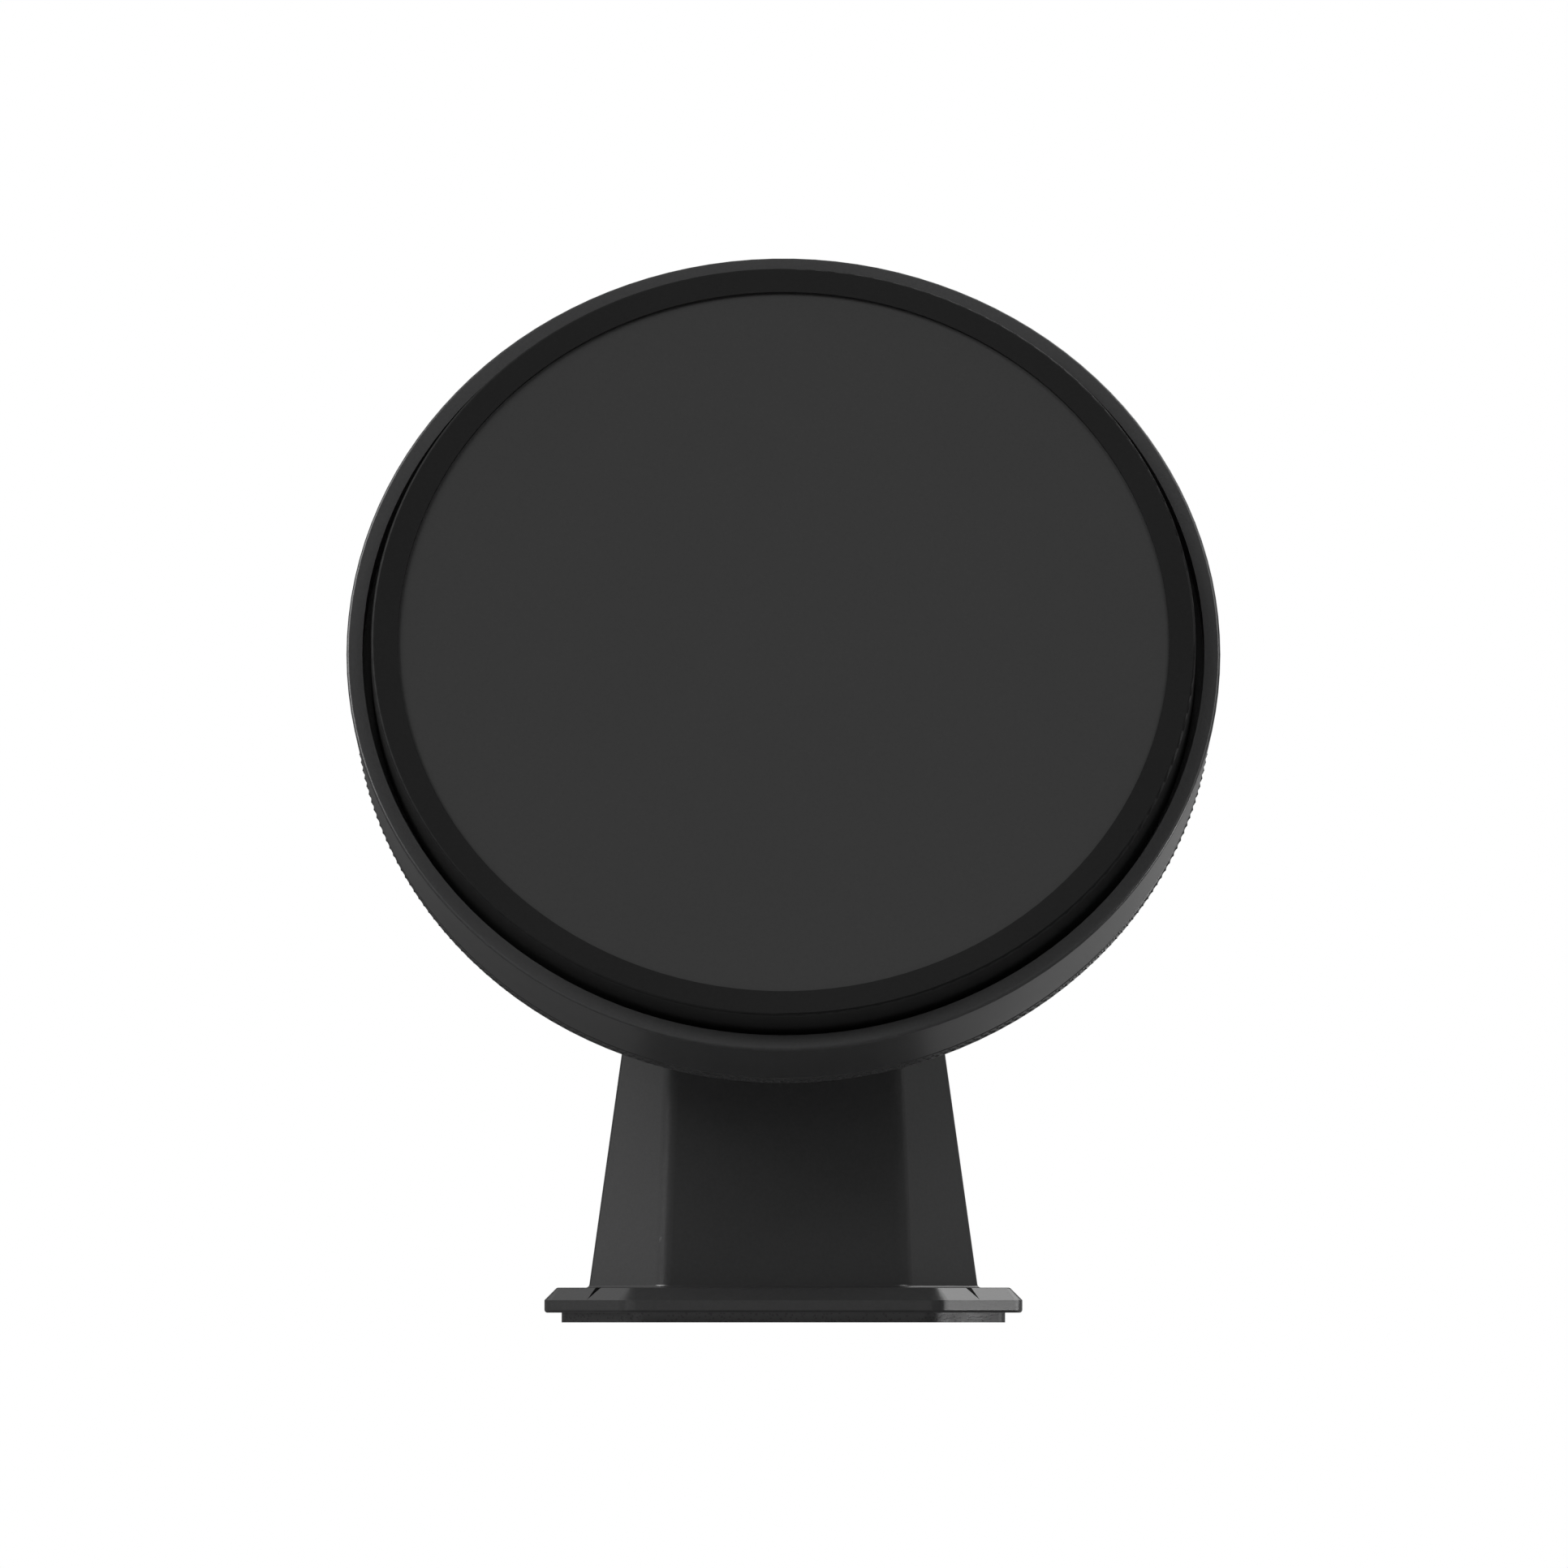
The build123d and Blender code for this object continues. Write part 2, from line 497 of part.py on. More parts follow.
GIMBAL_PIN_LENGTH = 6.2
GIMBAL_PIN_START = 33.7

slant = radians(FILLER_ANGLE)
UP_THE_FACE = Vector(0, sin(tilt), cos(tilt))
BACK = Plane(origin=GIMBAL - FRONT * DIAPHRAGM_DEPTH, x_dir=(1, 0, 0), z_dir=-FRONT)
FILLER = Plane(origin=GIMBAL, x_dir=(1, 0, 0), z_dir=UP_THE_FACE * sin(slant) - FRONT * cos(slant))
FILLER_FACE = FILLER.offset(FILLER_DEPTH + FILLER_BOSS_HEIGHT)

with BuildPart() as capsule_bowl:
    turn_dome(BOWL_RADIUS, BOWL_HALF_ANGLE, BOWL_FLANGE_FRONT)
    turn((0, SEAT), (LENS_RADIUS, SEAT), (LENS_RADIUS, BOWL_FLANGE_FRONT), (0, BOWL_FLANGE_FRONT))
    turn_dome(BOWL_RADIUS - BOWL_WALL, BOWL_HALF_ANGLE, BOWL_FLANGE_FRONT, mode=Mode.SUBTRACT)
    rods(BACK, [(0, 0)], DIAPHRAGM_RADIUS, BOSS_HEIGHT)
    rods(BACK.offset(-4), [(0, 0)], DIAPHRAGM_PORT, 10.0, mode=Mode.SUBTRACT)
    rods(BACK.offset(0.5), DIAPHRAGM_SCREWS, DIAPHRAGM_SCREW_RADIUS + REST, 4.0, mode=Mode.SUBTRACT)
    rods(FILLER.offset(FILLER_DEPTH), [(0, 0)], FILLER_BOSS_RADIUS, FILLER_BOSS_HEIGHT)
    holes(FILLER_FACE.offset(2), [(0, 0)], PLUG_RADIUS + REST, 8.0)
    for way in (1, -1):
        side = Plane(origin=GIMBAL, z_dir=(way, 0, 0)).offset(35)
        rods(side, [(0, 0)], GIMBAL_PIN_RADIUS + REST, 5.0, mode=Mode.SUBTRACT)
save(capsule_bowl, "capsule_bowl")

DIAPHRAGM_FACE = BACK.offset(BOSS_HEIGHT + REST)
RING_FACE = DIAPHRAGM_FACE.offset(DIAPHRAGM_HEIGHT + REST)
with BuildPart() as diaphragm:
    rods(DIAPHRAGM_FACE, [(0, 0)], DIAPHRAGM_RADIUS, DIAPHRAGM_HEIGHT)
    holes(RING_FACE, DIAPHRAGM_SCREWS, DIAPHRAGM_SCREW_RADIUS + SLIP, 1.0)
save(diaphragm, "diaphragm")

DIAPHRAGM_RING_HEIGHT = 1.0
with BuildPart() as diaphragm_ring:
    rods(RING_FACE, [(0, 0)], DIAPHRAGM_RADIUS, DIAPHRAGM_RING_HEIGHT)
    rods(RING_FACE, [(0, 0)], DIAPHRAGM_PORT, 2.0, mode=Mode.SUBTRACT)
    rods(RING_FACE, DIAPHRAGM_SCREWS, DIAPHRAGM_SCREW_RADIUS + SLIP, 2.0, mode=Mode.SUBTRACT)
save(diaphragm_ring, "diaphragm_ring")

with BuildPart() as diaphragm_screws:
    screws(RING_FACE.offset(DIAPHRAGM_RING_HEIGHT + REST), DIAPHRAGM_SCREWS, (1.3, 0.55),
           (DIAPHRAGM_SCREW_RADIUS, 3.0))
save(diaphragm_screws, "diaphragm_screws")

PLUG_HEAD_FACE = FILLER_FACE.offset(PLUG_SEAL_HEIGHT + 2 * REST)
with BuildPart() as fill_plug:
    rods(PLUG_HEAD_FACE, [(0, 0)], PLUG_RADIUS, -PLUG_LENGTH)
    rods(PLUG_HEAD_FACE, [(0, 0)], *PLUG_HEAD)
    with BuildSketch(PLUG_HEAD_FACE.offset(PLUG_HEAD[1])):
        Rectangle(*PLUG_SLOT)
    extrude(amount=-PLUG_SLOT_DEPTH, mode=Mode.SUBTRACT)
save(fill_plug, "fill_plug")

with BuildPart() as fill_plug_seal:
    rods(FILLER_FACE.offset(REST), [(0, 0)], PLUG_SEAL_RADIUS, PLUG_SEAL_HEIGHT)
    holes(FILLER_FACE.offset(2), [(0, 0)], PLUG_RADIUS + REST, 3.0)
save(fill_plug_seal, "fill_plug_seal")

LENS_SEAL_INNER = 46.95
LENS_SEAL_BACK = BOWL_FLANGE_FRONT + REST
with BuildPart() as lens_seal:
    turn((LENS_SEAL_INNER, LENS_SEAL_BACK), (LENS_RADIUS, LENS_SEAL_BACK),
         (LENS_RADIUS, LENS_BACK - REST), (LENS_SEAL_INNER, LENS_BACK - REST))
save(lens_seal, "lens_seal")

LENS_LIP = -0.07
LENS_LIP_RADIUS = 47.2
LENS_CURVE = (LENS_LIP_RADIUS**2 + (LENS_DOME - LENS_LIP)**2) / 2 / (LENS_DOME - LENS_LIP)
with BuildPart() as lens:
    turn((0, LENS_BACK), (LENS_RADIUS, LENS_BACK), (LENS_RADIUS, LENS_LIP), (0, LENS_LIP))
    half = asin(LENS_LIP_RADIUS / LENS_CURVE) / 2
    with BuildSketch(HEAD_PROFILE) as dome:
        with BuildLine():
            ThreePointArc((LENS_LIP_RADIUS, LENS_LIP),
                          (LENS_CURVE * sin(half), LENS_DOME - LENS_CURVE * (1 - cos(half))), (0, LENS_DOME))
            Polyline((0, LENS_DOME), (0, LENS_BACK + 1), (LENS_LIP_RADIUS, LENS_BACK + 1),
                     (LENS_LIP_RADIUS, LENS_LIP))
        make_face()
    revolve(dome.sketch, axis=HEAD_AXIS)
save(lens, "lens")

LENS_RING_BACK = -0.03
LENS_RING_FRONT = 1.3
LENS_SCREW_SINK = (LENS_SCREW_HEAD[0] + SLIP, 0.75)
with BuildPart() as lens_ring:
    turn((47.5, LENS_RING_BACK), (47.5, 0.8), (48.1, LENS_RING_FRONT), (56.0, LENS_RING_FRONT),
         (56.0, LENS_RING_BACK))
    holes(head_plane(LENS_RING_FRONT), LENS_RING_SCREWS, LENS_SCREW_RADIUS + SLIP, 2)
    holes(head_plane(LENS_RING_FRONT), LENS_RING_SCREWS, *LENS_SCREW_SINK)
save(lens_ring, "lens_ring")

with BuildPart() as lens_ring_screws:
    screws(head_plane(LENS_RING_FRONT - LENS_SCREW_SINK[1] + REST), LENS_RING_SCREWS, LENS_SCREW_HEAD,
           (LENS_SCREW_RADIUS, LENS_SCREW_LENGTH))
save(lens_ring_screws, "lens_ring_screws")

LAMP_BOARD_BACK = LAMP_BOARD_FRONT - 1.2
BEHIND_LAMPS = Plane(origin=RIM_CENTRE + FRONT * (LAMP_BOARD_BACK - REST), x_dir=(1, 0, 0), z_dir=-FRONT)
BOARD_INNER = 49.4
BOARD_OUTER = 58.5
BOARD_WIDTH = 44.0
LAMP_SIZE = (2.0, 3.2)
LAMP_HEIGHT = 1.6
LAMP_CIRCLE = 51.0
with BuildPart() as lamp_board:
    turn((BOARD_INNER, LAMP_BOARD_FRONT), (BOARD_OUTER, LAMP_BOARD_FRONT), (BOARD_OUTER, LAMP_BOARD_BACK),
         (BOARD_INNER, LAMP_BOARD_BACK))
    with BuildSketch(head_plane(-12)) as top_part:
        with Locations((0, BOARD_OUTER)):
            Rectangle(BOARD_WIDTH, 27)
    extrude(top_part.sketch, amount=6, mode=Mode.INTERSECT)
    rods(head_plane(-12), LAMP_SCREWS, LAMP_SCREW_RADIUS + SLIP, 6, mode=Mode.SUBTRACT)
save(lamp_board, "lamp_board")

with BuildPart() as lamp_board_screws:
    screws(BEHIND_LAMPS, [(x, -y) for x, y in LAMP_SCREWS], (1.6, 0.9), (LAMP_SCREW_RADIUS, 3.2))
save(lamp_board_screws, "lamp_board_screws")

with BuildPart() as lamps:
    with BuildSketch(head_plane(LAMP_BOARD_BACK - REST)) as lamp_faces:
        with PolarLocations(LAMP_CIRCLE, 3, start_angle=72, angular_range=36, endpoint=True):
            Rectangle(*LAMP_SIZE)
    extrude(lamp_faces.sketch, amount=-LAMP_HEIGHT)
save(lamps, "lamps")

with BuildPart() as gimbal_pins:
    for way in (1, -1):
        start = Plane(origin=GIMBAL, z_dir=(way, 0, 0)).offset(GIMBAL_PIN_START)
        rods(start, [(0, 0)], GIMBAL_PIN_RADIUS, GIMBAL_PIN_LENGTH)
save(gimbal_pins, "gimbal_pins")

# ---------------------------------------------------------------- gimballed card
CRADLE_PIN_RADIUS = 1.0
CRADLE_PIN_START = 27.2
CRADLE_PIN_LENGTH = 7.9
CRADLE_HALF = 32.2
CRADLE_WIDTH = 4.0
CRADLE_HUB = 8.0
POST_RADIUS = 0.4
POST_PLACES = around(30.9, 4)
POST_FOOT = 1.22
PIVOT_RADIUS = 0.8
ALONG_X = Plane(origin=GIMBAL, z_dir=(1, 0, 0))
ALONG_Y = Plane(origin=GIMBAL, z_dir=(0, 1, 0))

with BuildPart() as gimbal_ring:
    turn_card((RING_INNER, -RING_HALF_HEIGHT), (RING_OUTER, -RING_HALF_HEIGHT),
              (RING_OUTER, RING_HALF_HEIGHT), (RING_INNER, RING_HALF_HEIGHT))
    holes(ALONG_X.offset(40), [(0, 0)], GIMBAL_PIN_RADIUS + SLIP, 80)
    holes(ALONG_Y.offset(40), [(0, 0)], CRADLE_PIN_RADIUS + SLIP, 80)
save(gimbal_ring, "gimbal_ring")

with BuildPart() as card_cradle:
    with BuildSketch(level_plane(-RING_HALF_HEIGHT)) as cross:
        Rectangle(2 * CRADLE_HALF, CRADLE_WIDTH)
        Rectangle(CRADLE_WIDTH, 2 * CRADLE_HALF)
        Circle(CRADLE_HUB)
    extrude(cross.sketch, amount=2 * RING_HALF_HEIGHT)
    for way in (1, -1):
        arm_end = Plane(origin=GIMBAL, z_dir=(0, way, 0)).offset(40)
        holes(arm_end, [(0, 0)], CRADLE_PIN_RADIUS + REST, 40 + 0.2 - CRADLE_PIN_START)
    rods(level_plane(POST_FOOT - REST), POST_PLACES, POST_RADIUS + REST, 2, mode=Mode.SUBTRACT)
    rods(level_plane(-3), [(0, 0)], PIVOT_RADIUS + REST, 8, mode=Mode.SUBTRACT)
save(card_cradle, "card_cradle")

with BuildPart() as cradle_pins:
    for way in (1, -1):
        start = Plane(origin=GIMBAL, z_dir=(0, way, 0)).offset(CRADLE_PIN_START)
        rods(start, [(0, 0)], CRADLE_PIN_RADIUS, CRADLE_PIN_LENGTH)
save(cradle_pins, "cradle_pins")

with BuildPart() as lubber_posts:
    rods(level_plane(POST_FOOT), POST_PLACES, POST_RADIUS, CARD_HIGH - POST_FOOT)
save(lubber_posts, "lubber_posts")

with BuildPart() as counterweight:
    turn_card((0, -1.52), (5, -1.52), (5, -3), (2, -3.6), (2, -16), (11, -16), (13, -18), (13, -22),
              (11, -24), (0, -24))
save(counterweight, "counterweight")

with BuildPart() as pivot_pin:
    turn_card((0, -1.45), (PIVOT_RADIUS, -1.45), (PIVOT_RADIUS, 6.5), (0, 8.0))
save(pivot_pin, "pivot_pin")

CUP_RADIUS = 2.0
CARD_HOLE = CUP_RADIUS + SLIP
with BuildPart() as jewel_cup:
    turn_card((0, 8.3), (1.3, 6.9), (CUP_RADIUS, 6.9), (CUP_RADIUS, 10.4), (0, 10.4))
save(jewel_cup, "jewel_cup")

FLOAT_TOP = CARD_HIGH - 1 - REST
with BuildPart() as card_float:
    turn_card((CARD_HOLE, 7.2), (4.5, 4.2), (14, 4.2), (17, 6.2), (17, FLOAT_TOP), (CARD_HOLE, FLOAT_TOP))
save(card_float, "card_float")

with BuildPart() as card_dial:
    turn_card((CARD_HOLE, CARD_HIGH - 1), (24.0, CARD_HIGH - 1), (CARD_RADIUS - 0.9, CARD_LOW),
              (CARD_RADIUS, CARD_LOW), (24.6, CARD_HIGH), (CARD_HOLE, CARD_HIGH))
save(card_dial, "card_dial")

BAR_MAGNET = (3.0, 20.0)
BAR_MAGNET_LOW = 2.2
with BuildPart() as card_magnets:
    with BuildSketch(level_plane(BAR_MAGNET_LOW)) as bars:
        with Locations((-7, 0), (7, 0)):
            Rectangle(*BAR_MAGNET)
    extrude(bars.sketch, amount=4.2 - REST - BAR_MAGNET_LOW)
save(card_magnets, "card_magnets")

# ---------------------------------------------------------------- protective cover
COVER_BACK = 1.72
PANEL_BACK = 2.8
SKIRT_INNER = 59.4
SKIRT_END = -5.0
COVER_EDGE_RADIUS = 0.35
with BuildPart() as cover_shell:
    turn(
        (0, COVER_BACK), (0, PANEL_BACK), (PANEL_RADIUS, PANEL_BACK), (PANEL_RADIUS, COVER_PROUD),
        (COVER_RADIUS, COVER_PROUD), (COVER_RADIUS, SKIRT_END), (SKIRT_INNER, SKIRT_END),
        (SKIRT_INNER, COVER_BACK),
    )
    front_edge = cover_shell.edges().filter_by(GeomType.CIRCLE).group_by(SortBy.RADIUS)[-1]
    fillet(front_edge, COVER_EDGE_RADIUS)
save(cover_shell, "cover_shell")

with BuildPart() as cover_panel:
    turn((0, PANEL_BACK + REST), (PANEL_RADIUS - REST, PANEL_BACK + REST),
         (PANEL_RADIUS - REST, COVER_PROUD - PANEL_SINK), (0, COVER_PROUD - PANEL_SINK))
save(cover_panel, "cover_panel")
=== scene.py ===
"""Looks for the binnacle compass: a tilted round head on an eight-sided pedestal, with
its cover fitted, and the gimballed card, capsule and compensator inside. Metres."""

import bpy
import bmesh
import json
from math import cos, pi, radians, sin
from mathutils import Matrix, Vector


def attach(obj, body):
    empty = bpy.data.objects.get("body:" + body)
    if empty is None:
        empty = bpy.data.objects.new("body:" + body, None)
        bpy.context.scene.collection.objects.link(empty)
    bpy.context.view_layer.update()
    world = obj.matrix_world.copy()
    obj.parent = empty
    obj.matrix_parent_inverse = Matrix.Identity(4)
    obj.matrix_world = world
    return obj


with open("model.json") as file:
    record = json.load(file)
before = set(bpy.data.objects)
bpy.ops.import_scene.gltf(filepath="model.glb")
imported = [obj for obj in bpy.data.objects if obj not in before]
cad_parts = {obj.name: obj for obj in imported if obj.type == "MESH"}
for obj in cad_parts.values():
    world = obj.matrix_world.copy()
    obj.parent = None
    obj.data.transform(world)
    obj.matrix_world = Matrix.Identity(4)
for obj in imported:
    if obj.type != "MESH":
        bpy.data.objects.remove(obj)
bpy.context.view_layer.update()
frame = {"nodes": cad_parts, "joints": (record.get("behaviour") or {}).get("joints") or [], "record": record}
joints = {joint["name"]: joint for joint in frame["joints"]}
MM = 0.001

# ------------------------------------------------------------------ places
FRONT = Vector(joints["cover_lift"]["axis"]).normalized()
ACROSS = Vector((1, 0, 0))
UP_FACE = FRONT.cross(ACROSS)
GIMBAL = Vector(joints["gimbal_pitch"]["pos_m"])
RIM_CENTRE = GIMBAL + FRONT * 40 * MM
HEAD = "pedestal_and_head"

# ------------------------------------------------------------------ camera
VIEW_WIDTH = 233.1 * MM
camera = bpy.data.objects.new("camera", bpy.data.cameras.new("camera"))
camera.data.type = "ORTHO"
camera.data.ortho_scale = VIEW_WIDTH
camera.location = (0.09 * MM, -1.5, 80.05 * MM)
camera.rotation_euler = (radians(90), 0, 0)
bpy.context.scene.collection.objects.link(camera)
bpy.context.scene.camera = camera
bpy.context.scene.view_settings.view_transform = "Standard"


# ------------------------------------------------------------------ node writing
class Value:
    """What a node gives, with arithmetic."""

    def __init__(self, nodes, socket):
        self.nodes = nodes
        self.socket = socket

    def math(self, operation, *others):
        return self.nodes.make("Math", {"operation": operation}, dict(enumerate(others)))

    def __add__(self, other):
        return self.math("ADD", self, other)

    def __sub__(self, other):
        return self.math("SUBTRACT", self, other)

    def __rsub__(self, other):
        return self.math("SUBTRACT", other, self)

    def __mul__(self, other):
        return self.math("MULTIPLY", self, other)

    def __truediv__(self, other):
        return self.math("DIVIDE", self, other)

    def __rtruediv__(self, other):
        return self.math("DIVIDE", other, self)

    def __mod__(self, other):
        return self.math("FLOORED_MODULO", self, other)

    def __lt__(self, other):
        return self.math("LESS_THAN", self, other)

    def __gt__(self, other):
        return self.math("GREATER_THAN", self, other)

    def __abs__(self):
        return self.math("ABSOLUTE", self)

    __radd__ = __add__
    __rmul__ = __mul__


class Nodes:
    """Writes nodes into one tree."""

    def __init__(self, tree):
        self.tree = tree

    def make(self, kind, settings=None, inputs=None, output=0):
        """Add a node, set it up, feed its sockets with values or links, and give an output."""
        node = self.tree.nodes.new("ShaderNode" + kind)
        for name, setting in (settings or {}).items():
            setattr(node, name, setting)
        for name, value in (inputs or {}).items():
            self.feed(node.inputs[name], value)
        return Value(self, node.outputs[output])

    def feed(self, socket, value):
        if isinstance(value, Value):
            self.tree.links.new(value.socket, socket)
        elif socket.type == "RGBA":
            socket.default_value = (*value, 1)
        else:
            socket.default_value = value

    def place(self):
        """The point on the object, in metres in the row's frame."""
        return self.make("TexCoord", output="Object")

    def vector(self, operation, a, b=(0, 0, 0), output=0):
        return self.make("VectorMath", {"operation": operation}, {0: a, 1: b}, output)

    def along(self, arm, axis):
        """How far a vector reaches along an axis."""
        return self.vector("DOT_PRODUCT", arm, tuple(axis), output="Value")

    def noise(self, where, size, detail=2.0, roughness=0.5):
        """Cloudy noise whose patches are about that size, 0 to 1."""
        return self.make("TexNoise", None, {"Vector": where, "Scale": 1 / size, "Detail": detail,
                                            "Roughness": roughness})

    def cells(self, where, size, feature="F1"):
        """Distance to the nearest of scattered points, or to the edge between two."""
        return self.make("TexVoronoi", {"feature": feature}, {"Vector": where, "Scale": 1 / size}, "Distance")

    def blend(self, value, low, high, start=0.0, end=1.0):
        """Smoothly from start to end as value goes from low to high."""
        return self.make("MapRange", {"interpolation_type": "SMOOTHSTEP"},
                         {"Value": value, "From Min": low, "From Max": high, "To Min": start, "To Max": end})

    def mix(self, share, a, b):
        """Colour a turning to colour b."""
        return self.make("Mix", {"data_type": "RGBA"}, {"Factor": share, 6: a, 7: b}, output=2)

    def bump(self, height, depth):
        """Normal of a surface whose height goes 0 to 1 over that depth."""
        return self.make("Bump", None, {"Height": height, "Distance": depth})

    def about(self, where, centre, axis):
        """Radius from an axis, and height along it."""
        arm = self.vector("SUBTRACT", where, tuple(centre))
        radius = self.vector("LENGTH", self.vector("CROSS_PRODUCT", arm, tuple(axis)), output="Value")
        return radius, self.along(arm, axis)


def finish_named(name, write, **constants):
    """A material with one Principled surface. Constants are set on its sockets, and
    write(nodes) returns what varies over it."""
    material = bpy.data.materials.new(name)
    material.use_nodes = True
    nodes = Nodes(material.node_tree)
    surface = material.node_tree.nodes["Principled BSDF"]
    for socket, value in {**constants, **write(nodes)}.items():
        nodes.feed(surface.inputs[socket.replace("_", " ")], value)
    return material


def tinted(colour, amount):
    return tuple(c * amount for c in colour)


# ------------------------------------------------------------------ finishes
GRAIN = 0.28 * MM
GRAIN_DEPTH = 0.004 * MM


def moulded(colour, clouds=14 * MM, rough=0.3, contrast=0.08):
    """Satin moulded plastic: a fine spark grain, faint flow clouds and handling polish."""
    def write(nodes):
        where = nodes.place()
        flow = nodes.noise(where, clouds, detail=1)
        speck = nodes.noise(where, GRAIN * 1.7, detail=1)
        spark = nodes.cells(where, GRAIN) + nodes.noise(where, GRAIN * 0.5) * 0.6
        rub = nodes.noise(where, clouds * 2, detail=1)
        shade = nodes.blend(flow * 0.15 + speck * 0.85, 0.2, 0.8)
        return {
            "Base Color": nodes.mix(shade, tinted(colour, 1 - contrast), tinted(colour, 1 + contrast)),
            "Roughness": nodes.blend(rub, 0.3, 0.7, rough - 0.02, rough + 0.02),
            "Normal": nodes.bump(spark, GRAIN_DEPTH),
        }
    return write


def cover_moulding(nodes):
    """The cover's bezel is dark and dull on its front; its sides and back are plain satin, coloured lighter
    than the front as painted light on the down-facing side wall.
    """
    looks = moulded(BEZEL, rough=0.45)(nodes)
    height = nodes.about(nodes.place(), RIM_CENTRE, FRONT)[1]
    front = nodes.blend(height, COVER_PROUD - 0.3 * MM, COVER_PROUD - 0.1 * MM)
    # the sides and back get a lighter colour than the front: painted light, standing in for light that the
    # down-facing side wall lacks
    looks["Base Color"] = nodes.mix(front, COVER_SIDE_PAINTED_LIGHT, looks["Base Color"])
    return looks


def foam(colour, pore=0.5 * MM, rough=0.34):
    """Closed-cell foam rubber: round pores cut open by the knife, painted darker towards their centres as
    painted shade in the hollows, and a dusty skin.
    """
    def write(nodes):
        where = nodes.place()
        pores = nodes.blend(nodes.cells(where, pore), 0.15, 0.45)
        dust = nodes.noise(where, 6 * MM, detail=4)
        return {
            # pores darker at their centres: painted shade in the hollows; the dust clouds are the skin's own
            # tone
            "Base Color": nodes.mix(pores * 0.6 + dust * 0.4, tinted(colour, 0.7), tinted(colour, 1.3)),
            "Roughness": nodes.blend(dust, 0.3, 0.7, rough - 0.05, rough + 0.05),
            "Normal": nodes.bump(pores, 0.012 * MM),
        }
    return write


def seal(nodes):
    """Moulded seal rubber: faint bloom, a mould line's fine ripple."""
    where = nodes.place()
    bloom = nodes.noise(where, 3 * MM, detail=5, roughness=0.6)
    return {
        "Base Color": nodes.mix(nodes.blend(bloom, 0.4, 0.75), (0.012, 0.012, 0.012), (0.035, 0.035, 0.036)),
        "Roughness": nodes.blend(bloom, 0.3, 0.7, 0.45, 0.7),
        "Normal": nodes.bump(nodes.noise(where, 0.3 * MM, detail=2), 0.01 * MM),
    }


def clear_acrylic(nodes):
    """Polished clear window: nearly nothing face on, more at a slant, with hairline wipes."""
    where = nodes.place()
    wipes = nodes.noise(nodes.vector("MULTIPLY", where, (1, 1, 6)), 0.8 * MM, detail=3)
    slant = nodes.make("LayerWeight", None, {"Blend": 0.3}, "Fresnel")
    return {
        "Alpha": 0.08 + slant * 0.6,
        "Roughness": nodes.blend(wipes, 0.4, 0.8, 0.02, 0.09),
        "Base Color": nodes.mix(wipes, (0.04, 0.05, 0.05), (0.08, 0.09, 0.09)),
    }


def steel(nodes):
    """Stainless fastener: cold-headed skin, fine brushing and a few darker handling marks."""
    where = nodes.place()
    brush = nodes.noise(nodes.vector("MULTIPLY", where, (1, 1, 7)), 0.5 * MM, detail=4)
    marks = nodes.noise(where, 1.6 * MM, detail=5, roughness=0.7)
    return {
        "Base Color": nodes.mix(nodes.blend(marks, 0.45, 0.7), (0.62, 0.62, 0.61), (0.42, 0.41, 0.40)),
        "Roughness": nodes.blend(brush, 0.3, 0.7, 0.20, 0.38),
        "Normal": nodes.bump(brush, 0.004 * MM),
    }


def turned(centre, axis):
    """Brass turned about an axis: tool rings, warm tarnish in patches."""
    def write(nodes):
        where = nodes.place()
        radius, height = nodes.about(where, centre, axis)
        rings = abs((radius + height) % (0.22 * MM) / (0.11 * MM) - 1)
        tarnish = nodes.noise(where, 4 * MM, detail=5, roughness=0.65)
        return {
            "Base Color": nodes.mix(nodes.blend(tarnish, 0.4, 0.72), (0.78, 0.60, 0.28), (0.42, 0.27, 0.11)),
            "Roughness": nodes.blend(tarnish + rings * 0.2, 0.3, 0.9, 0.18, 0.42),
            "Normal": nodes.bump(rings, 0.006 * MM),
        }
    return write


def circuit(nodes):
    """Lamp board: green mask over copper tracks that run round the ring, tinned pads."""
    where = nodes.place()
    radius = nodes.about(where, RIM_CENTRE, FRONT)[0]
    lane = abs((radius + nodes.noise(where, 9 * MM) * 2 * MM) % (1.5 * MM) / (0.75 * MM) - 1)
    track = nodes.blend(lane, 0.35, 0.5)
    pad = nodes.cells(where, 3.4 * MM) < 0.2
    green = nodes.mix(track, (0.03, 0.22, 0.09), (0.012, 0.10, 0.04))
    return {
        "Base Color": nodes.mix(pad, green, (0.66, 0.66, 0.62)),
        "Metallic": pad,
        "Roughness": nodes.blend(nodes.noise(where, 1.2 * MM), 0.3, 0.7, 0.25, 0.38),
        "Normal": nodes.bump(track, 0.03 * MM),
    }


def ink(colour):
    """Matt printed marks: a little uneven where the screen laid less ink."""
    def write(nodes):
        where = nodes.place()
        thin = nodes.noise(where, 0.35 * MM, detail=3)
        return {
            "Base Color": nodes.mix(nodes.blend(thin, 0.35, 0.75), colour, tinted(colour, 0.82)),
            "Roughness": nodes.blend(thin, 0.3, 0.7, 0.5, 0.7),
            "Normal": nodes.bump(thin, 0.006 * MM),
        }
    return write


def ground(nodes):
    """Magnet bar: grinding lines along it and dull oxide at random."""
    where = nodes.place()
    lines = nodes.noise(nodes.vector("MULTIPLY", where, (9, 1, 1)), 1.2 * MM, detail=4)
    oxide = nodes.noise(where, 2.5 * MM, detail=4)
    return {
        "Base Color": nodes.mix(nodes.blend(oxide, 0.4, 0.7), (0.34, 0.34, 0.35), (0.17, 0.16, 0.16)),
        "Roughness": nodes.blend(lines, 0.3, 0.7, 0.30, 0.52),
        "Normal": nodes.bump(lines, 0.006 * MM),
    }


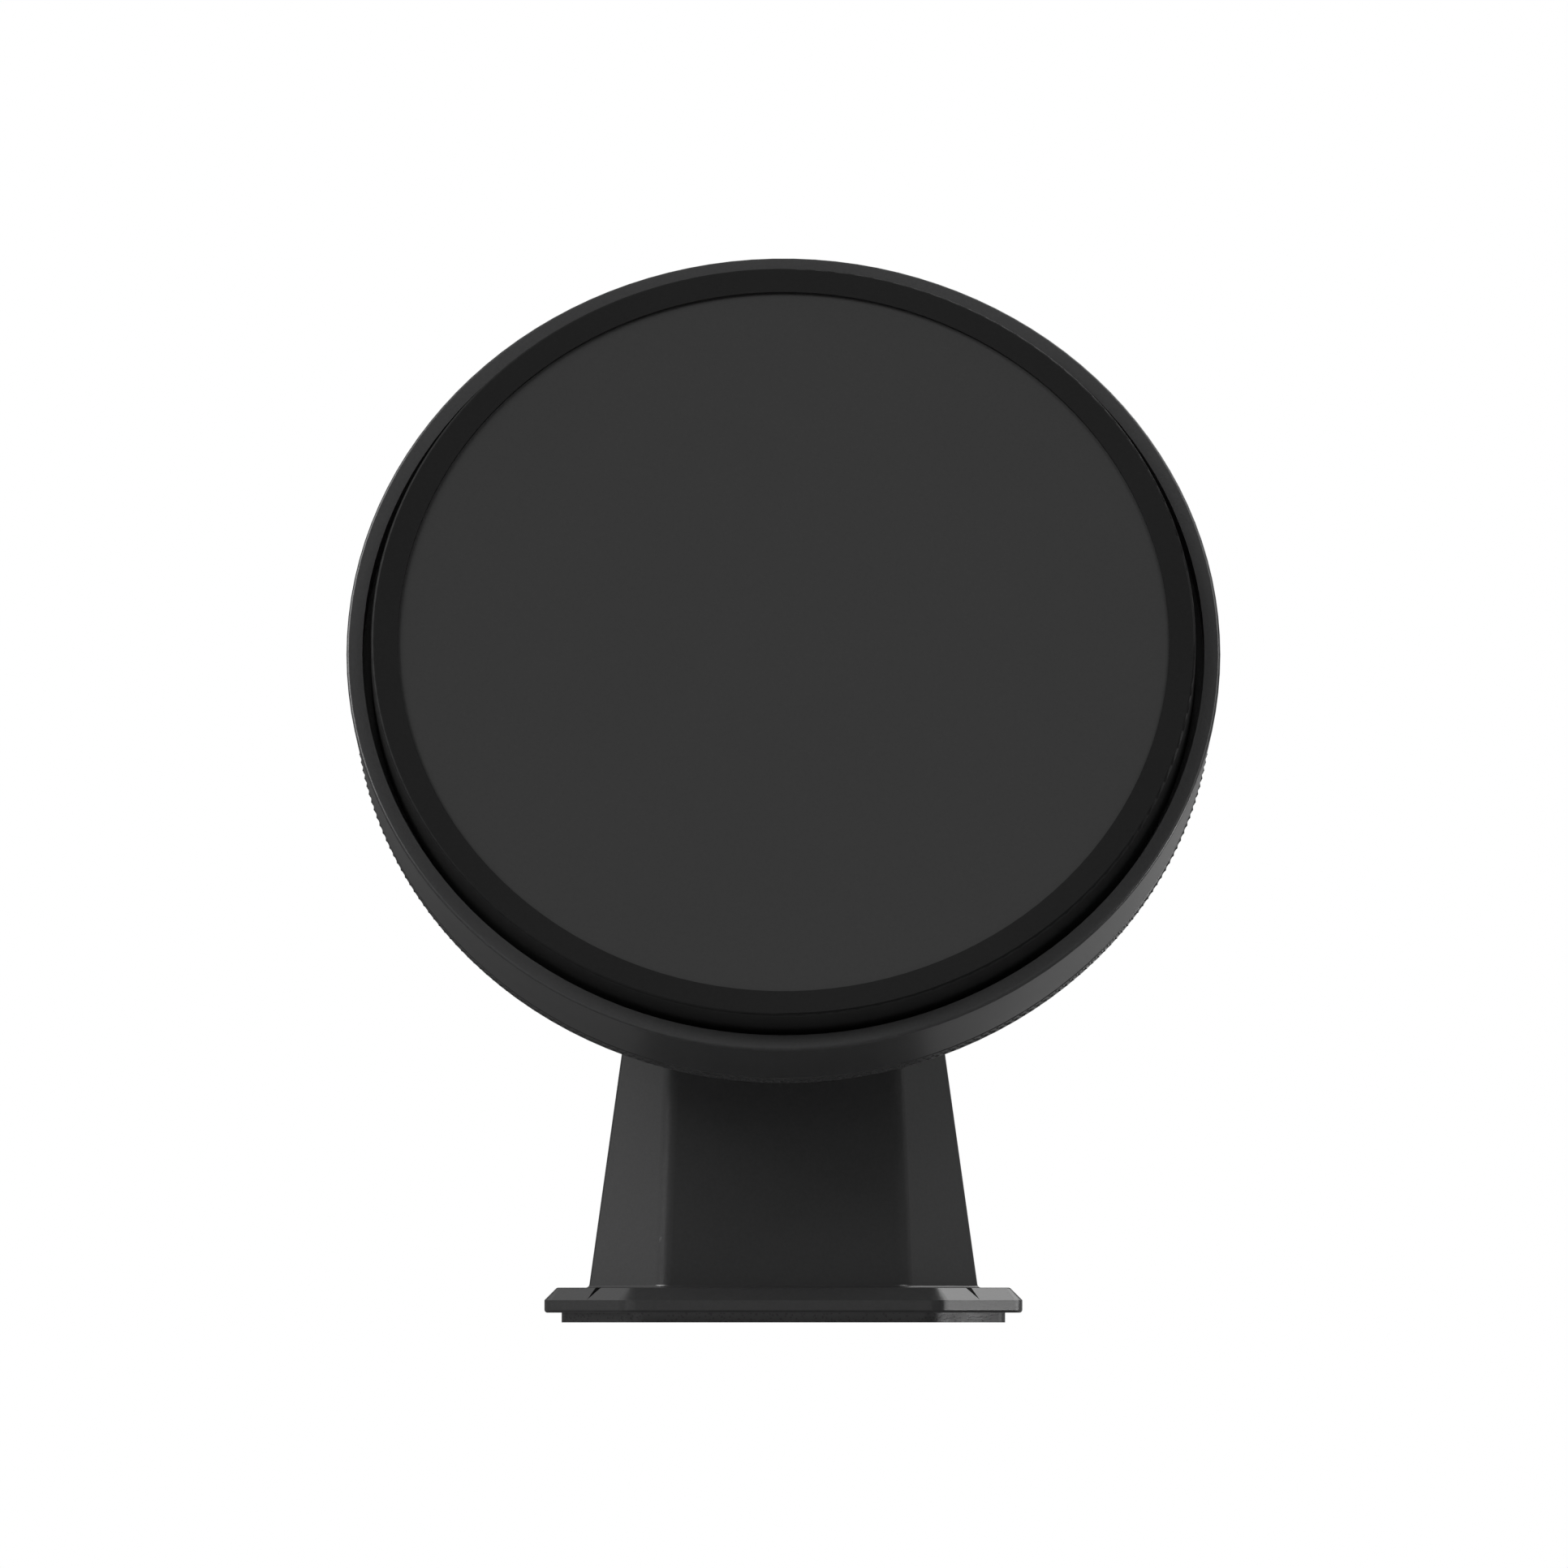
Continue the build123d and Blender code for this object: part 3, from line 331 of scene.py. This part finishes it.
BLACK = (0.034, 0.034, 0.0345)
BEZEL = (0.0075, 0.0075, 0.0075)
# lighter colour of the cover's sides and back: painted light, not a second plastic
COVER_SIDE_PAINTED_LIGHT = (0.02, 0.02, 0.02)
COVER_PROUD = 4.26 * MM  # in front of the rim plane
UPRIGHT = (0, 0, 1)
FINISHES = {
    "black_plastic": finish_named("black_plastic", moulded(BLACK)),
    "cover_plastic": finish_named("cover_plastic", cover_moulding, Specular_IOR_Level=0.12),
    "cover_face": finish_named("cover_face", moulded((0.0195, 0.0195, 0.0195), rough=0.55, contrast=0.05),
                               Specular_IOR_Level=0.28),
    "foam_rubber": finish_named("foam_rubber", foam((0.105, 0.105, 0.106))),
    "seal_rubber": finish_named("seal_rubber", seal),
    "inner_plastic": finish_named("inner_plastic", moulded((0.06, 0.06, 0.062), rough=0.4)),
    "bowl_plastic": finish_named("bowl_plastic", moulded((0.05, 0.05, 0.052), rough=0.22)),
    "lens_clear": finish_named("lens_clear", clear_acrylic, IOR=1.49, Coat_Roughness=0.03),
    "stainless": finish_named("stainless", steel, Metallic=1.0),
    "brass_turned": finish_named("brass_turned", turned(GIMBAL, UPRIGHT), Metallic=1.0),
    "circuit_board": finish_named("circuit_board", circuit),
    "lamp_body": finish_named("lamp_body", moulded((0.75, 0.72, 0.68), rough=0.3, clouds=1.5 * MM)),
    "lubber_paint": finish_named("lubber_paint", ink((0.78, 0.16, 0.03))),
    "card_face": finish_named("card_face", moulded((0.012, 0.013, 0.016), rough=0.55, clouds=5 * MM)),
    "card_foam": finish_named("card_foam", foam((0.62, 0.60, 0.55), pore=0.35 * MM, rough=0.75)),
    "magnet_steel": finish_named("magnet_steel", ground, Metallic=1.0),
}
TURNED_ABOUT = {
    "side_adjuster": (joints["side_adjuster_turn"]["pos_m"], joints["side_adjuster_turn"]["axis"]),
    "rear_adjuster": (joints["rear_adjuster_turn"]["pos_m"], joints["rear_adjuster_turn"]["axis"]),
    "diaphragm_ring": (GIMBAL, FRONT),
}
OWN_FINISH = {name: finish_named(name + "_brass", turned(*lathe), Metallic=1.0)
              for name, lathe in TURNED_ABOUT.items()}
slots = {row["node"]: row["material_slot"] for row in frame["record"]["subparts"]}
for name, node in frame["nodes"].items():
    for holder in node.material_slots:
        holder.material = OWN_FINISH.get(name, FINISHES[slots[name]])


# ------------------------------------------------------------------ pieces
def add_piece(name, shape, finish, body):
    """Put a bmesh into the scene as a piece that rides on a body."""
    mesh = bpy.data.meshes.new(name)
    bmesh.ops.recalc_face_normals(shape, faces=shape.faces)
    shape.to_mesh(mesh)
    shape.free()
    mesh.materials.append(finish)
    piece = bpy.data.objects.new(name, mesh)
    bpy.context.scene.collection.objects.link(piece)
    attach(piece, body)
    return piece


# knurled grip round the rear shell's edge: two staggered rows of little pyramids
KNURL_COUNT = 300
KNURL_ROWS = (-13.4 * MM, -14.1 * MM)  # behind the rim plane
KNURL_ROOT = 63.6 * MM
KNURL_TIP = 63.84 * MM
KNURL_HALF_HEIGHT = 0.38 * MM
KNURL_HALF_WIDTH = pi / KNURL_COUNT  # as an angle


def on_head(radius, angle, height):
    """Point at a radius, an angle round the face and a height in front of the rim plane."""
    return RIM_CENTRE + (ACROSS * cos(angle) + UP_FACE * sin(angle)) * radius + FRONT * height


knurl = bmesh.new()
for row, height in enumerate(KNURL_ROWS):
    for tooth in range(KNURL_COUNT):
        middle = 2 * pi * (tooth + row / 2) / KNURL_COUNT
        foot = [(middle + KNURL_HALF_WIDTH * a, height + KNURL_HALF_HEIGHT * b)
                for a, b in ((-1, 0), (0, -1), (1, 0), (0, 1))]
        root = [knurl.verts.new(on_head(KNURL_ROOT, *corner)) for corner in foot]
        tip = knurl.verts.new(on_head(KNURL_TIP, middle, height))
        for a, b in zip(root, root[1:] + root[:1]):
            knurl.faces.new((a, b, tip))
        knurl.faces.new(root)
add_piece("edge_knurl", knurl, FINISHES["black_plastic"], HEAD)

# graduations on the card: ticks down its sloping edge and round its flat top
CARD_TOP = 10.0 * MM  # above the gimbal centre
SHOULDER = 24.6 * MM
SLOPE_FOOT = (29.5 * MM, 3.5 * MM)
MARK_THICKNESS = 0.05 * MM
MARK_FOOT = 0.01 * MM  # clear of the card, so that the two faces don't meet
TOP_MARK_EDGE = SHOULDER - 0.6 * MM
THICK_MARK = 0.55 * MM
THIN_MARK = 0.3 * MM
TOP_REACH = 8 * MM  # length that a reach of 1 has on the top


def on_slope(angle, share):
    """Point on the card's sloping edge, from its shoulder (0) to its foot (1)."""
    radius = SHOULDER + (SLOPE_FOOT[0] - SHOULDER) * share
    height = CARD_TOP + (SLOPE_FOOT[1] - CARD_TOP) * share
    return GIMBAL + Vector((sin(angle) * radius, cos(angle) * radius, height))


def on_top(angle, radius):
    """Point on the card's flat top."""
    return GIMBAL + Vector((sin(angle) * radius, cos(angle) * radius, CARD_TOP))


def lay_mark(shape, start, end, width, lift):
    """A thin raised bar from start to end, lifted off the surface along its normal."""
    side = (end - start).cross(lift).normalized() * width / 2
    corners = [start - side, start + side, end + side, end - side]
    low = [shape.verts.new(p + lift * MARK_FOOT) for p in corners]
    high = [shape.verts.new(p + lift * MARK_THICKNESS) for p in corners]
    shape.faces.new(low)
    shape.faces.new(high)
    for i in range(4):
        shape.faces.new((low[i - 1], low[i], high[i], high[i - 1]))


SLOPE_DROP = CARD_TOP - SLOPE_FOOT[1]
SLOPE_RUN = SLOPE_FOOT[0] - SHOULDER
marks = bmesh.new()
for degrees in range(0, 360, 5):
    angle = radians(degrees)
    outward = Vector((sin(angle), cos(angle), 0))
    slope_normal = (outward * SLOPE_DROP + Vector(UPRIGHT) * SLOPE_RUN).normalized()
    reach = 0.30 if degrees % 30 == 0 else 0.22 if degrees % 10 == 0 else 0.13  # share of the slope
    width = THICK_MARK if degrees % 10 == 0 else THIN_MARK
    lay_mark(marks, on_slope(angle, 0.97), on_slope(angle, 0.97 - reach), width, slope_normal)
    inner_end = TOP_MARK_EDGE - reach * TOP_REACH
    lay_mark(marks, on_top(angle, TOP_MARK_EDGE), on_top(angle, inner_end), width, Vector(UPRIGHT))
CARD_INK = finish_named("card_ink", ink((0.82, 0.82, 0.78)))
add_piece("card_marks", marks, CARD_INK, "card")


def lettering(shape, text, size, place, across, up):
    """Add raised lettering to a shape, centred on a place."""
    words = bpy.data.curves.new("words", "FONT")
    words.body = text
    words.size = size
    words.extrude = MARK_THICKNESS / 2
    words.align_x = "CENTER"
    words.align_y = "CENTER"
    holder = bpy.data.objects.new("words", words)
    outlines = bpy.data.meshes.new_from_object(holder)
    out = across.cross(up)
    facing = Matrix((across, up, out)).transposed().to_4x4()
    outlines.transform(Matrix.Translation(place + out * MARK_THICKNESS / 2) @ facing)
    shape.from_mesh(outlines)
    bpy.data.objects.remove(holder)
    bpy.data.curves.remove(words)
    bpy.data.meshes.remove(outlines)


# the near side of the sloping edge shows the heading, so its numbers are turned half way
SLOPE_TEXT = 4.2 * MM
TOP_TEXT = 5.5 * MM
TOP_TEXT_RADIUS = 17.5 * MM
POINTS = {0: "N", 90: "E", 180: "S", 270: "W"}
numerals = bmesh.new()
for degrees in range(0, 360, 30):
    angle = radians(degrees)
    outward = Vector((sin(angle), cos(angle), 0))
    sideways = Vector((-cos(angle), sin(angle), 0))
    up_slope = (on_slope(angle, 0) - on_slope(angle, 1)).normalized()
    heading = (degrees + 180) % 360
    label = POINTS.get(heading, str(heading // 10))
    lettering(numerals, label, SLOPE_TEXT, on_slope(angle, 0.34), sideways, up_slope)
    top_label = POINTS.get(degrees)
    if top_label:
        lettering(numerals, top_label, TOP_TEXT, on_top(angle, TOP_TEXT_RADIUS), -sideways, outward)
add_piece("card_numerals", numerals, CARD_INK, "card")

# ------------------------------------------------------------------ studio
# soft panels far off: direction, half-width and half-height in degrees, brightness
PANELS = {
    "left_key": ((-0.72, -0.37, 0.73), 17, 17, 7.2),
    "right_high": ((0.5, -0.45, 0.74), 12, 12, 5.0),
    "left_side": ((-1, 0, 0.2), 12, 8, 0.6),
    "right_side": ((1, 0, 0.24), 14, 6, 0.3),
    "right_strip": ((1, 0, -0.09), 24, 5, 10.0),
    "right_back": ((0.5, 0.5, 0.707), 17, 17, 3.2),
    "left_back": ((-0.5, 0.5, 0.707), 17, 17, 0.5),
    "front_strip": ((-0.45, -1, -0.11), 25, 5, 1.0),
    "low_right_back": ((0.4, 0.9, -0.2), 25, 18, 0.28),
}
ALL_ROUND = 0.13
world = bpy.data.worlds.new("studio")
bpy.context.scene.world = world
world.use_nodes = True
sky = Nodes(world.node_tree)
way = sky.make("TexCoord", output="Generated")
glow = ALL_ROUND
for aim, half_width, half_height, brightness in PANELS.values():
    facing = Vector(aim).normalized()
    sideways = facing.cross(UPRIGHT).normalized()
    lit = sky.along(way, facing) > 0
    for axis, half in ((sideways, half_width), (sideways.cross(facing), half_height)):
        edge = sin(radians(half))
        lit = lit * sky.blend(abs(sky.along(way, axis)), edge * 1.2, edge * 0.8)
    glow = lit * brightness + glow
seen = sky.make("LightPath", output="Is Camera Ray")
backdrop = world.node_tree.nodes["Background"]
sky.feed(backdrop.inputs["Color"], (1, 1, 1))
sky.feed(backdrop.inputs["Strength"], seen + (1 - seen) * glow)

FLOOR_REACH = 3.0
floor_mesh = bpy.data.meshes.new("floor")
corners = [(x * FLOOR_REACH, y * FLOOR_REACH, 0) for x, y in ((-1, -1), (1, -1), (1, 1), (-1, 1))]
floor_mesh.from_pydata(corners, [], [(0, 1, 2, 3)])
floor_mesh.materials.append(finish_named("pale_floor", moulded((0.55, 0.55, 0.55), rough=0.5, contrast=0.02)))
floor = bpy.data.objects.new("floor", floor_mesh)
bpy.context.scene.collection.objects.link(floor)
floor.visible_glossy = False
